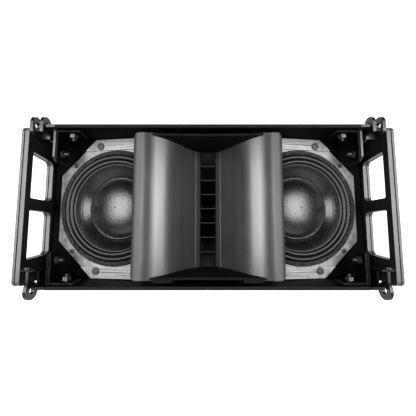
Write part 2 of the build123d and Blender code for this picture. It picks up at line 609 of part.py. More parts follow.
# ---- rear connector plate and crossover ----------------------------------------------------
cp = box(-82, 82, Y_BACK, Y_BACK + 3, -56, 56)
for x_ in (-30, 30):
    cp -= rod_y(Y_BACK - 1, Y_BACK + 5, x_, 0, 12.1)
for x_ in (-75, 75):
    for z_ in (-50, 50):
        cp -= rod_y(Y_BACK - 1, Y_BACK + 5, x_, z_, 2.05)
cp = chamfer(cp.faces().sort_by(Axis.Y)[-1].outer_wire().edges(), 1.0)
out("connector_plate", cp)
socks = []
for x_ in (-30, 30):
    so = rod_y(Y_BACK - 22, Y_BACK + 3, x_, 0, 12.0) + box(x_ - 13, x_ + 13, Y_BACK + 3, Y_BACK + 6, -15.5, 15.5)
    so -= rod_y(Y_BACK - 15, Y_BACK + 7, x_, 0, 9.6)
    socks.append(so)
out("link_connectors", socks)
ps = []
for x_ in (-75, 75):
    for z_ in (-50, 50):
        q = Pos(x_, Y_BACK + 3, z_) * Rot(-90, 0, 0) * pan(4.0, 2.4, 2.0, 11.0, True)
        ps.append(q)
out("connector_plate_screws", ps)
BRD = Y_BACK - PLY - 12
board = box(-58, 58, BRD - 2, BRD, -70, 70)
posts = [rod_y(BRD, Y_BACK - PLY, x_, z_, 4.0) for x_ in (-50, 50) for z_ in (-62, 62)]
out("crossover_board", [board] + [])
out("board_spacers", posts)
comps = [Pos(-28, BRD - 2 - 12, 36) * Rot(90, 0, 0) * Cylinder(22, 24) - Pos(-28, BRD - 14, 36) * Rot(90, 0, 0) * Cylinder(9, 40),
         Pos(28, BRD - 2 - 12, -36) * Rot(90, 0, 0) * Cylinder(22, 24) - Pos(28, BRD - 14, -36) * Rot(90, 0, 0) * Cylinder(9, 40),
         rod_x(6, 52, BRD - 2 - 10.5, 40, 10.0), rod_x(6, 52, BRD - 2 - 10.5, 16, 10.0), rod_x(-52, -6, BRD - 2 - 10.5, -40, 10.0),
         box(-50, -10, BRD - 14, BRD - 2, -18, -6)]
out("crossover_parts", comps)

# acoustic lining glued inside the two woofer chambers
lin = box(-REAR_X + PLY + 1, -CH - 10, Y_BACK - PLY - 20, Y_BACK - PLY, -95, 95)
out("chamber_lining", both(lin))
print("parts", len(os.listdir("parts")))
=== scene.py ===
import math

import bmesh
import bpy
from mathutils import Matrix, Vector, noise


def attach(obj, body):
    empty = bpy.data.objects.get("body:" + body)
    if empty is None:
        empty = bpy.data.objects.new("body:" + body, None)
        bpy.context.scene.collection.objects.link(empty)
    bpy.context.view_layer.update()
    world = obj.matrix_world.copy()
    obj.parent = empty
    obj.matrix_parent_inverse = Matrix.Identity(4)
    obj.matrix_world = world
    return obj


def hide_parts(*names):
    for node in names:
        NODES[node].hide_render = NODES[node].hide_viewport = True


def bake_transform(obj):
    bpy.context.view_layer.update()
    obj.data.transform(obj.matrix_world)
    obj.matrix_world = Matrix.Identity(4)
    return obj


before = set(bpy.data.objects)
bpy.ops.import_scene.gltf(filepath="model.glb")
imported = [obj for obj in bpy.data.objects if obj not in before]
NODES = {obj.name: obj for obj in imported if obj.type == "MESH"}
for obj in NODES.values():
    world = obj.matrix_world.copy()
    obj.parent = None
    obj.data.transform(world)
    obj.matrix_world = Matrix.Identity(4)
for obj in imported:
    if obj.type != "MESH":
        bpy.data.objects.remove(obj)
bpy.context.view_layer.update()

MM = 0.001
OY, OZ = 6.0, 156.0          # the pin axis in the working frame, mm


def R(x, y, z):
    """Working-frame millimetres to the row frame in metres."""
    return Vector((x * MM, (y - OY) * MM, (z - OZ) * MM))


# ------------------------------------------------------------------ camera
cam_data = bpy.data.cameras.new("camera")
cam = bpy.data.objects.new("camera", cam_data)
bpy.context.scene.collection.objects.link(cam)
cam_data.sensor_width = 36.0
cam_data.lens = 252.0 / 416.0 * 36.0
cam_data.clip_start = 0.01
cam_data.clip_end = 60.0
cam.location = R(0.0, -470.6, -51.6)
cam.rotation_euler = (math.radians(90.0 + 5.5), 0.0, 0.0)
bpy.context.scene.camera = cam

# ------------------------------------------------------------------ materials


class G:
    """Small helper that builds a node material."""

    def __init__(self, name):
        self.m = bpy.data.materials.new(name)
        self.m.use_nodes = True
        self.t = self.m.node_tree
        self.b = self.t.nodes["Principled BSDF"]
        self.tc = self.t.nodes.new("ShaderNodeTexCoord")

    def n(self, kind, **props):
        node = self.t.nodes.new(kind)
        for k, v in props.items():
            setattr(node, k, v)
        return node

    def link(self, a, b):
        self.t.links.new(a, b)

    def noise(self, scale, detail=4.0, rough=0.55, distortion=0.0, stretch=None, vec=None):
        n = self.n("ShaderNodeTexNoise")
        n.inputs["Scale"].default_value = scale
        n.inputs["Detail"].default_value = detail
        n.inputs["Roughness"].default_value = rough
        n.inputs["Distortion"].default_value = distortion
        src = vec or self.tc.outputs["Object"]
        if stretch:
            mp = self.n("ShaderNodeMapping")
            mp.inputs["Scale"].default_value = stretch
            self.link(src, mp.inputs["Vector"])
            src = mp.outputs["Vector"]
        self.link(src, n.inputs["Vector"])
        return n.outputs["Fac"]

    def voronoi(self, scale, feature="F1", rand=1.0):
        n = self.n("ShaderNodeTexVoronoi", feature=feature)
        n.inputs["Scale"].default_value = scale
        n.inputs["Randomness"].default_value = rand
        self.link(self.tc.outputs["Object"], n.inputs["Vector"])
        return n.outputs["Distance"]

    def ramp(self, fac, stops, interp="LINEAR"):
        r = self.n("ShaderNodeValToRGB")
        r.color_ramp.interpolation = interp
        e = r.color_ramp.elements
        while len(e) < len(stops):
            e.new(0.5)
        for i, (p, c) in enumerate(stops):
            e[i].position = p
            c = c if isinstance(c, (list, tuple)) else (c, c, c)
            e[i].color = (*c[:3], 1.0)
        self.link(fac, r.inputs["Fac"])
        return r.outputs["Color"]

    def mixc(self, fac, a, b):
        m = self.n("ShaderNodeMix", data_type="RGBA")
        for sock, v in ((m.inputs[0], fac), (m.inputs[6], a), (m.inputs[7], b)):
            if isinstance(v, (int, float)):
                if sock == m.inputs[0]:
                    sock.default_value = v
                else:
                    sock.default_value = (v, v, v, 1)
            elif isinstance(v, (list, tuple)):
                sock.default_value = (*v[:3], 1)
            else:
                self.link(v, sock)
        return m.outputs[2]

    def math(self, op, a, b=None, c=None, clamp=False):
        m = self.n("ShaderNodeMath", operation=op, use_clamp=clamp)
        for i, v in enumerate((a, b, c)):
            if v is None:
                continue
            if isinstance(v, (int, float)):
                m.inputs[i].default_value = v
            else:
                self.link(v, m.inputs[i])
        return m.outputs[0]

    def edge(self, lo=0.505, hi=0.56):
        """0 on flats, 1 on rounded convex edges."""
        g = self.n("ShaderNodeNewGeometry")
        mr = self.n("ShaderNodeMapRange")
        mr.inputs["From Min"].default_value = lo
        mr.inputs["From Max"].default_value = hi
        self.link(g.outputs["Pointiness"], mr.inputs["Value"])
        return mr.outputs["Result"]

    def base(self, v):
        self.b.inputs["Base Color"].default_value = (*v[:3], 1) if isinstance(v, (list, tuple)) else (v, v, v, 1)

    def col(self, sock):
        self.link(sock, self.b.inputs["Base Color"])

    def rough(self, v):
        if isinstance(v, (int, float)):
            self.b.inputs["Roughness"].default_value = v
        else:
            self.link(v, self.b.inputs["Roughness"])

    def metal(self, v):
        if isinstance(v, (int, float)):
            self.b.inputs["Metallic"].default_value = v
        else:
            self.link(v, self.b.inputs["Metallic"])

    def spec(self, v):
        self.b.inputs["Specular IOR Level"].default_value = v

    def coat(self, w, r):
        self.b.inputs["Coat Weight"].default_value = w
        self.b.inputs["Coat Roughness"].default_value = r

    def sheen(self, w, r=0.5):
        self.b.inputs["Sheen Weight"].default_value = w
        self.b.inputs["Sheen Roughness"].default_value = r

    def bump(self, layers):
        """layers: (height socket, strength, distance in metres) from coarse to fine."""
        prev = None
        for h, s, d in layers:
            b = self.n("ShaderNodeBump")
            b.inputs["Strength"].default_value = s
            b.inputs["Distance"].default_value = d
            self.link(h, b.inputs["Height"])
            if prev is not None:
                self.link(prev, b.inputs["Normal"])
            prev = b.outputs["Normal"]
        self.link(prev, self.b.inputs["Normal"])


def paint_black():
    g = G("textured_black_paint")
    big = g.noise(9.0, 3)
    fine = g.noise(900.0, 3, 0.6)
    blob = g.noise(330.0, 2, 0.5)
    scuff = g.noise(55.0, 6, 0.75, 0.6, (1.0, 0.35, 1.0))
    base = g.mixc(g.ramp(big, [(0.35, 0.0), (0.65, 1.0)]), (0.0004, 0.0004, 0.00045), (0.0009, 0.0009, 0.00095))
    worn = g.math("MULTIPLY", g.edge(0.51, 0.58), g.ramp(scuff, [(0.45, 0.0), (0.62, 1.0)]))
    g.col(g.mixc(worn, base, (0.0030, 0.0029, 0.0029)))
    g.spec(0.02)
    g.rough(g.math("MULTIPLY_ADD", scuff, 0.22, 0.52))
    g.bump([(blob, 0.35, 0.0004), (fine, 0.35, 0.0002)])
    return g.m


def panel_front():
    """The panels: black textured paint; their front-facing faces get a lighter streaked grey, a painted highlight
    standing for the satin paint catching the lamps.
    """
    g = G("panel_paint")
    nrm = g.n("ShaderNodeSeparateXYZ")
    g.link(g.tc.outputs["Normal"], nrm.inputs[0])
    pos = g.n("ShaderNodeSeparateXYZ")
    g.link(g.tc.outputs["Object"], pos.inputs[0])
    # mask of the front-facing faces near the front, which get the painted highlight
    facing = g.math("GREATER_THAN", g.math("MULTIPLY", nrm.outputs["Y"], -1.0), 0.30)
    near = g.math("LESS_THAN", pos.outputs["Y"], 0.0)
    front = g.math("MULTIPLY", facing, near)
    big = g.noise(9.0, 3)
    fine = g.noise(900.0, 3, 0.6)
    blob = g.noise(330.0, 2, 0.5)
    streak = g.noise(30.0, 6, 0.7, 0.0, (0.6, 12.0, 12.0))
    scuff = g.noise(60.0, 6, 0.75, 0.5)
    black = g.mixc(g.ramp(big, [(0.35, 0.0), (0.65, 1.0)]), (0.0004, 0.0004, 0.00045), (0.0009, 0.0009, 0.00095))
    worn = g.math("MULTIPLY", g.edge(0.51, 0.58), g.ramp(scuff, [(0.45, 0.0), (0.62, 1.0)]))
    black = g.mixc(worn, black, (0.0040, 0.0039, 0.0038))
    g.spec(0.03)
    # painted highlight: a lighter streaked grey on the front faces in place of the lamps' sheen on the satin paint
    painted_highlight_grey = g.mixc(g.ramp(streak, [(0.3, 0.0), (0.7, 1.0)]), (0.0035, 0.0035, 0.0036), (0.0075, 0.0075, 0.0076))
    g.col(g.mixc(front, black, painted_highlight_grey))
    g.rough(g.math("MULTIPLY_ADD", scuff, 0.2, 0.42))
    g.bump([(blob, 0.3, 0.0004), (fine, 0.3, 0.0002)])
    return g.m


def side_plate():
    """Aluminium plate: coated black on its faces, bare on every cut edge."""
    g = G("side_plate_alloy")
    nrm = g.n("ShaderNodeSeparateXYZ")
    g.link(g.tc.outputs["Normal"], nrm.inputs[0])
    ax = g.math("ABSOLUTE", nrm.outputs["X"])
    bare = g.math("LESS_THAN", ax, 0.86)
    grain = g.noise(120.0, 8, 0.7, 0.0, (18.0, 18.0, 0.5))
    cloud = g.noise(24.0, 5, 0.6)
    nick = g.noise(210.0, 4, 0.7)
    alloy = g.mixc(g.ramp(grain, [(0.3, 0.0), (0.7, 1.0)]), (0.038, 0.038, 0.038), (0.056, 0.056, 0.0557))
    alloy = g.mixc(g.ramp(nick, [(0.66, 0.0), (0.74, 0.6)]), alloy, (0.045, 0.045, 0.045))
    coat = g.mixc(g.ramp(cloud, [(0.35, 0.0), (0.65, 1.0)]), (0.0014, 0.0014, 0.0015), (0.0024, 0.0024, 0.0025))
    g.col(g.mixc(bare, coat, alloy))
    g.metal(g.math("MULTIPLY", bare, 0.30))
    g.spec(0.3)
    g.rough(g.math("ADD", g.math("MULTIPLY", bare, -0.14), g.math("MULTIPLY_ADD", cloud, 0.18, 0.44)))
    fine = g.noise(1000.0, 3, 0.6)
    g.bump([(grain, 0.08, 0.0003), (fine, 0.16, 0.00015)])
    return g.m


def plain(name, lo, hi, scale, rough, metal=0.0, spec=0.5, bumps=((700.0, 0.2, 0.0002),), rvar=0.15, stretch=None, wear=None, coat=None):
    g = G(name)
    m = g.noise(scale, 5, 0.6, 0.2, stretch)
    c = g.mixc(g.ramp(m, [(0.32, 0.0), (0.68, 1.0)]), lo, hi)
    if wear:
        patch = g.noise(wear[1], 6, 0.7)
        w = g.math("MULTIPLY", g.edge(wear[2], wear[3]), g.ramp(patch, [(0.36, 0.0), (0.58, 1.0)]))
        c = g.mixc(w, c, wear[0])
    g.col(c)
    g.rough(g.math("MULTIPLY_ADD", m, rvar, rough - rvar / 2))
    g.metal(metal)
    g.spec(spec)
    if coat:
        g.coat(*coat)
    g.bump([(g.noise(s, 4, 0.6, 0.0, stretch if i == 0 and stretch else None), a, d) for i, (s, a, d) in enumerate(bumps)])
    return g.m


def paper(name, lo, hi, fleck, rough=0.62, bump=0.5, spec=0.5):
    """Pressed pulp: mottled, with pale fibres and dark pits."""
    g = G(name)
    m = g.noise(60.0, 6, 0.7)
    f = g.noise(340.0, 4, 0.65, 1.0)
    p = g.noise(520.0, 2, 0.5)
    v = g.voronoi(430.0)
    c = g.mixc(g.ramp(m, [(0.3, 0.0), (0.7, 1.0)]), lo, hi)
    c = g.mixc(g.ramp(f, [(0.54, 0.0), (0.66, 0.9)]), c, fleck)
    c = g.mixc(g.ramp(p, [(0.30, 0.7), (0.42, 0.0)]), c, (0.0015, 0.0015, 0.0015))
    g.col(c)
    g.rough(g.math("MULTIPLY_ADD", p, 0.22, rough - 0.11))
    g.spec(spec)
    g.bump([(m, 0.15 * bump, 0.0012), (v, 0.45 * bump, 0.0005), (f, 0.8 * bump, 0.0004)])
    return g.m


def felt(name, lo, hi, fleck):
    g = G(name)
    m = g.noise(120.0, 5, 0.7, 0.5)
    f = g.noise(330.0, 3, 0.6, 1.0)
    v = g.voronoi(380.0)
    c = g.mixc(g.ramp(m, [(0.36, 0.0), (0.64, 1.0)]), lo, hi)
    c = g.mixc(g.ramp(f, [(0.50, 0.0), (0.58, 1.0)]), c, fleck)
    c = g.mixc(g.ramp(v, [(0.0, 0.7), (0.25, 0.0)]), c, lo)
    g.col(c)
    g.rough(0.85)
    g.spec(0.14)
    g.bump([(m, 0.9, 0.0016), (f, 0.9, 0.0009)])
    return g.m


def cloth(name, lo, hi, rough=0.42):
    g = G(name)
    w1 = g.n("ShaderNodeTexWave", wave_type="BANDS", bands_direction="DIAGONAL")
    w1.inputs["Scale"].default_value = 260.0
    w1.inputs["Distortion"].default_value = 1.5
    w1.inputs["Detail"].default_value = 2.0
    g.link(g.tc.outputs["Object"], w1.inputs["Vector"])
    m = g.noise(90.0, 5, 0.6)
    f = g.noise(800.0, 3, 0.6)
    c = g.mixc(g.ramp(m, [(0.3, 0.0), (0.7, 1.0)]), lo, hi)
    g.col(c)
    g.rough(g.math("MULTIPLY_ADD", m, 0.16, rough - 0.08))
    g.spec(0.25)
    g.bump([(w1.outputs["Fac"], 0.18, 0.0002), (f, 0.3, 0.00025)])
    return g.m


def horn_black(name, lo, hi, rough, spec=0.5, lip=False):
    g = G(name)
    m = g.noise(14.0, 4, 0.55)
    f = g.noise(620.0, 3, 0.55)
    o = g.noise(150.0, 3, 0.5)
    s = g.noise(70.0, 7, 0.75, 0.4, (1.0, 1.0, 0.12))
    c = g.mixc(g.ramp(m, [(0.3, 0.0), (0.7, 1.0)]), lo, hi)
    c = g.mixc(g.ramp(s, [(0.68, 0.0), (0.80, 0.22)]), c, (0.03, 0.03, 0.03))
    g.col(c)
    r = g.math("ADD", g.math("MULTIPLY_ADD", m, 0.10, rough - 0.06), g.math("MULTIPLY", s, 0.06))
    if lip:
        pos = g.n("ShaderNodeSeparateXYZ")
        g.link(g.tc.outputs["Object"], pos.inputs[0])
        mr = g.n("ShaderNodeMapRange")
        mr.interpolation_type = "SMOOTHSTEP"
        mr.inputs["From Min"].default_value = 0.119
        mr.inputs["From Max"].default_value = 0.131
        g.link(g.math("ABSOLUTE", pos.outputs["X"]), mr.inputs["Value"])
        r = g.math("ADD", r, g.math("MULTIPLY", mr.outputs["Result"], 0.26))
    g.rough(r)
    g.spec(spec)
    g.bump([(o, 0.05, 0.0004), (f, 0.14, 0.00018)])
    return g.m


def ply(name):
    g = G(name)
    w = g.n("ShaderNodeTexWave", wave_type="BANDS", bands_direction="Y")
    w.inputs["Scale"].default_value = 10.0
    w.inputs["Distortion"].default_value = 6.0
    w.inputs["Detail"].default_value = 4.0
    g.link(g.tc.outputs["Object"], w.inputs["Vector"])
    f = g.noise(260.0, 5, 0.7, 0.0, (1.0, 1.0, 0.08))
    c = g.mixc(w.outputs["Fac"], (0.36, 0.24, 0.13), (0.50, 0.36, 0.21))
    c = g.mixc(g.ramp(f, [(0.4, 0.0), (0.7, 0.5)]), c, (0.22, 0.13, 0.07))
    g.col(c)
    g.rough(0.6)
    g.bump([(f, 0.25, 0.0003)])
    return g.m


def winding(name):
    g = G(name)
    w = g.n("ShaderNodeTexWave", wave_type="BANDS", bands_direction="Y")
    w.inputs["Scale"].default_value = 420.0
    g.link(g.tc.outputs["Object"], w.inputs["Vector"])
    m = g.noise(80.0)
    g.col(g.mixc(m, (0.42, 0.20, 0.07), (0.62, 0.33, 0.14)))
    g.metal(0.85)
    g.rough(0.35)
    g.bump([(w.outputs["Fac"], 0.5, 0.0002)])
    return g.m


M = {
    "panel": panel_front(),
    "paint": paint_black(),
    "plate": side_plate(),
    "ply": ply("birch_ply"),
    "damp": plain("damping_rubber", (0.0006, 0.0006, 0.0006), (0.0014, 0.0014, 0.0014), 140.0, 0.8, spec=0.02, bumps=((420.0, 0.4, 0.0004),)),
    "zinc": plain("dark_zinc", (0.007, 0.007, 0.0073), (0.022, 0.022, 0.022), 180.0, 0.36, 0.8, bumps=((900.0, 0.25, 0.0001),), wear=((0.055, 0.054, 0.053), 300.0, 0.515, 0.57)),
    "rig": plain("phosphated_steel", (0.0014, 0.0014, 0.0015), (0.0030, 0.0030, 0.0031), 90.0, 0.27, 0.0, spec=0.26, bumps=((500.0, 0.2, 0.0002),), wear=((0.020, 0.0196, 0.0192), 60.0, 0.53, 0.62)),
    "bracket": plain("bracket_black", (0.0006, 0.0006, 0.0006), (0.0012, 0.0012, 0.0012), 90.0, 0.5, 0.0, spec=0.03, bumps=((700.0, 0.3, 0.0002),), wear=((0.018, 0.0177, 0.0175), 70.0, 0.53, 0.62)),
    "frame": plain("frame_grey", (0.040, 0.040, 0.040), (0.062, 0.062, 0.0617), 45.0, 0.42, 0.15, bumps=((260.0, 0.12, 0.0003), (900.0, 0.16, 0.00015)), wear=((0.17, 0.17, 0.168), 90.0, 0.505, 0.56)),
    "adapter": plain("adapter_grey", (0.06, 0.06, 0.06), (0.11, 0.11, 0.11), 70.0, 0.36, 0.3, bumps=((700.0, 0.2, 0.0002),)),
    "bar": plain("bar_grey", (0.056, 0.056, 0.056), (0.080, 0.080, 0.0795), 60.0, 0.38, 0.2, bumps=((160.0, 0.22, 0.0002), (900.0, 0.14, 0.00012)), stretch=(0.35, 6.0, 6.0), wear=((0.19, 0.19, 0.188), 90.0, 0.505, 0.56)),
    "screw": plain("screw_satin", (0.008, 0.008, 0.008), (0.020, 0.020, 0.0198), 300.0, 0.36, 0.5, spec=0.3, bumps=((800.0, 0.2, 0.0001),), wear=((0.10, 0.098, 0.096), 300.0, 0.51, 0.56)),
    "felt": felt("gasket_felt", (0.0008, 0.0008, 0.0008), (0.0028, 0.0028, 0.0028), (0.032, 0.032, 0.0316)),
    "cloth": cloth("surround_cloth", (0.0016, 0.0016, 0.0016), (0.0034, 0.0034, 0.0034), 0.38),
    "cone": paper("cone_pulp", (0.0010, 0.0010, 0.0010), (0.0022, 0.0022, 0.0022), (0.009, 0.009, 0.0089), 0.25, 0.34, 0.30),
    "cap": paper("cap_pulp", (0.0013, 0.0013, 0.0013), (0.0030, 0.0030, 0.0030), (0.016, 0.016, 0.0158), 0.27, 0.50, 0.40),
    "glue": plain("glue_bead", (0.05, 0.05, 0.049), (0.10, 0.10, 0.098), 240.0, 0.22, bumps=((500.0, 0.3, 0.0002),)),
    "spider": cloth("spider_cloth", (0.30, 0.17, 0.05), (0.46, 0.28, 0.09), 0.7),
    "coil": winding("voice_coil_winding"),
    "motor": plain("zinc_steel", (0.15, 0.15, 0.15), (0.23, 0.23, 0.225), 60.0, 0.34, 0.9, bumps=((700.0, 0.2, 0.0001),)),
    "magnet": plain("ferrite", (0.010, 0.010, 0.0105), (0.020, 0.020, 0.0205), 120.0, 0.55, 0.0, bumps=((380.0, 0.35, 0.0003),)),
    "horn": horn_black("horn_satin", (0.0080, 0.0080, 0.0082), (0.0115, 0.0115, 0.0117), 0.29, lip=True),
    "throat": horn_black("throat_satin", (0.0085, 0.0085, 0.0087), (0.0120, 0.0120, 0.0122), 0.34),
    "hornend": horn_black("horn_end_matt", (0.0007, 0.0007, 0.0008), (0.0014, 0.0014, 0.0015), 0.55, 0.05),
    "fin": horn_black("fin_matt", (0.0025, 0.0025, 0.0025), (0.005, 0.005, 0.005), 0.5, 0.12),
    "duct": horn_black("duct_matt", (0.0016, 0.0016, 0.0016), (0.003, 0.003, 0.003), 0.8, 0.08),
    "alloy": plain("dark_machined_alloy", (0.010, 0.010, 0.010), (0.020, 0.020, 0.020), 50.0, 0.4, 0.3, spec=0.2, bumps=((600.0, 0.15, 0.0001),)),
    "foil": plain("foil_dome", (0.006, 0.006, 0.006), (0.012, 0.012, 0.012), 50.0, 0.5, 0.2, spec=0.2, bumps=((300.0, 0.15, 0.0001),)),
    "pin": plain("pin_steel", (0.16, 0.16, 0.16), (0.26, 0.26, 0.255), 120.0, 0.27, 0.9, bumps=((800.0, 0.15, 0.0001),), wear=((0.4, 0.4, 0.395), 300.0, 0.505, 0.54)),
    "socket": plain("socket_moulding", (0.006, 0.006, 0.007), (0.012, 0.012, 0.014), 120.0, 0.38, 0.0, bumps=((900.0, 0.2, 0.0001),)),
    "board": plain("board_green", (0.006, 0.045, 0.018), (0.01, 0.07, 0.028), 60.0, 0.3, 0.0, bumps=((400.0, 0.3, 0.0002),)),
    "comp": plain("board_components", (0.10, 0.045, 0.015), (0.17, 0.085, 0.035), 60.0, 0.35, 0.1, bumps=((500.0, 0.3, 0.0002),)),
    "wad": felt("wadding", (0.17, 0.17, 0.16), (0.26, 0.26, 0.245), (0.31, 0.31, 0.30)),
}

CAD_MAT = {
    "top_panel": "panel", "bottom_panel": "panel", "side_walls": "paint", "back_panel": "paint", "baffles": "paint", "chamber_walls": "ply",
    "side_plates_inner": "plate", "side_plates_outer": "plate", "damping_layers": "damp", "side_plate_screws": "zinc",
    "front_clevis_left": "rig", "front_clevis_right": "rig", "link_guides": "bracket", "front_link_left": "rig", "front_link_right": "rig",
    "corner_brackets": "bracket", "bracket_bolts": "zinc", "woofer_frames": "frame", "woofer_adapters": "adapter", "woofer_gaskets": "felt",
    "woofer_surround_left": "cloth", "woofer_surround_right": "cloth", "woofer_cone_left": "cone", "woofer_cone_right": "cone",
    "dust_cap_left": "cap", "dust_cap_right": "cap", "voice_coil_left": "coil", "voice_coil_right": "coil", "woofer_spiders": "spider",
    "woofer_top_plates": "motor", "woofer_magnets": "magnet", "woofer_yokes": "motor", "clamp_bars": "bar", "clamp_screws": "screw", "frame_screws": "screw",
    "horn_flare_left": "horn", "horn_flare_right": "horn", "throat_cheeks": "throat", "horn_end_walls": "hornend", "horn_mounting_plate": "duct",
    "aperture_fins": "fin", "waveguide_body": "duct", "driver_throat_plate": "alloy", "driver_magnet": "magnet", "driver_phase_plug": "alloy",
    "driver_diaphragm": "foil", "driver_rear_cover": "socket", "rear_channels": "rig", "splay_bar_left": "pin", "splay_bar_right": "pin",
    "rear_stop_bolts": "zinc", "lock_pin_left": "pin", "lock_pin_right": "pin", "connector_plate": "bracket", "link_connectors": "socket",
    "connector_plate_screws": "zinc", "crossover_board": "board", "board_spacers": "zinc", "crossover_parts": "comp", "chamber_lining": "wad",
}
BEVEL = {
    "top_panel": 0.8, "bottom_panel": 0.8, "side_plates_inner": 0.7, "side_plates_outer": 0.5, "front_clevis_left": 0.9, "front_clevis_right": 0.9, "link_guides": 0.7,
    "front_link_left": 1.6, "front_link_right": 1.6, "corner_brackets": 0.6, "bracket_bolts": 0.5, "woofer_frames": 0.7, "woofer_adapters": 0.6,
    "clamp_bars": 0.7, "clamp_screws": 0.25, "frame_screws": 0.2, "side_plate_screws": 0.25, "horn_flare_left": 0.6, "horn_flare_right": 0.6,
    "throat_cheeks": 0.4, "horn_end_walls": 1.0, "rear_channels": 0.7, "splay_bar_left": 0.8, "splay_bar_right": 0.8, "back_panel": 0.6,
    "lock_pin_left": 0.4, "lock_pin_right": 0.4, "rear_stop_bolts": 0.5, "connector_plate": 0.4, "link_connectors": 0.5, "connector_plate_screws": 0.2,
    "aperture_fins": 0.6, "side_walls": 0.6, "baffles": 0.5,
}


def finish_cad(name, key):
    o = NODES[name]
    o.data.materials.clear()
    o.data.materials.append(M[key])
    for p in o.data.polygons:
        p.material_index = 0
    w = o.modifiers.new("weld", "WELD")
    w.merge_threshold = 0.00002
    if name in BEVEL:
        b = o.modifiers.new("bevel", "BEVEL")
        b.width = BEVEL[name] * MM
        b.segments = 2
        b.limit_method = "ANGLE"
        b.angle_limit = math.radians(32)
        b.use_clamp_overlap = True
        b.harden_normals = False
    wn = o.modifiers.new("normals", "WEIGHTED_NORMAL")
    wn.weight = 60
    wn.keep_sharp = False


for name, key in CAD_MAT.items():
    if name in NODES:
        finish_cad(name, key)

# ------------------------------------------------------------------ mesh helpers


def new_obj(name, verts, faces, mat, body, smooth=True):
    me = bpy.data.meshes.new(name)
    me.from_pydata([tuple(v) for v in verts], [], faces)
    me.validate()
    me.update()
    if smooth:
        for p in me.polygons:
            p.use_smooth = True
    o = bpy.data.objects.new(name, me)
    bpy.context.scene.collection.objects.link(o)
    me.materials.append(mat)
    if body:
        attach(o, body)
    return o


TOE = math.radians(8.0)
CT, ST = math.cos(TOE), math.sin(TOE)


def W(side):
    """Woofer-local millimetres to the row frame; side is -1 left, 1 right."""
    def f(u, v, w):
        x = -194.0 + u * CT - w * ST
        y = 50.0 - u * ST - w * CT
        return R(x if side < 0 else -x, y, v)
    return f


def lathe(profile, seg, tf, a0=0.0, a1=2 * math.pi, closed=True, flipn=False):
    """Surface of revolution about the woofer axis; profile is (r, w) pairs from inside to outside."""
    full = abs((a1 - a0) - 2 * math.pi) < 1e-6
    cols = seg if full else seg + 1
    verts, faces = [], []
    for i in range(cols):
        a = a0 + (a1 - a0) * i / seg
        c, s = math.cos(a), math.sin(a)
        for r, w in profile:
            verts.append(tf(r * c, r * s, w))
    n = len(profile)
    for i in range(seg):
        j = (i + 1) % cols if full else i + 1
        for k in range(n - 1 if not closed else n):
            k2 = (k + 1) % n
            q = (i * n + k, j * n + k, j * n + k2, i * n + k2)
            faces.append(q[::-1] if flipn else q)
    return verts, faces


COIL_R, CONE_R, CAP_R, SURR_R = 32.0, 92.0, 65.0, 111.0
CZ0, CZ1 = -3.75, -48.0


def cone_v(r):
    """Visible cone line: steep beside the dome, flatter towards the roll."""
    if r < CAP_R:
        return cone_z(r)
    d = r - CAP_R
    return cone_z(CAP_R) + 0.95 * d - 0.01085 * d * d


def cone_z(r):
    t = max(0.0, (r - COIL_R) / (CONE_R - COIL_R))
    return CZ1 + (CZ0 - CZ1) * t ** 0.85


def recalc(o):
    bm = bmesh.new()
    bm.from_mesh(o.data)
    bmesh.ops.remove_doubles(bm, verts=bm.verts, dist=1e-6)
    bmesh.ops.recalc_face_normals(bm, faces=bm.faces)
    bm.to_mesh(o.data)
    bm.free()
    for p in o.data.polygons:
        p.use_smooth = True


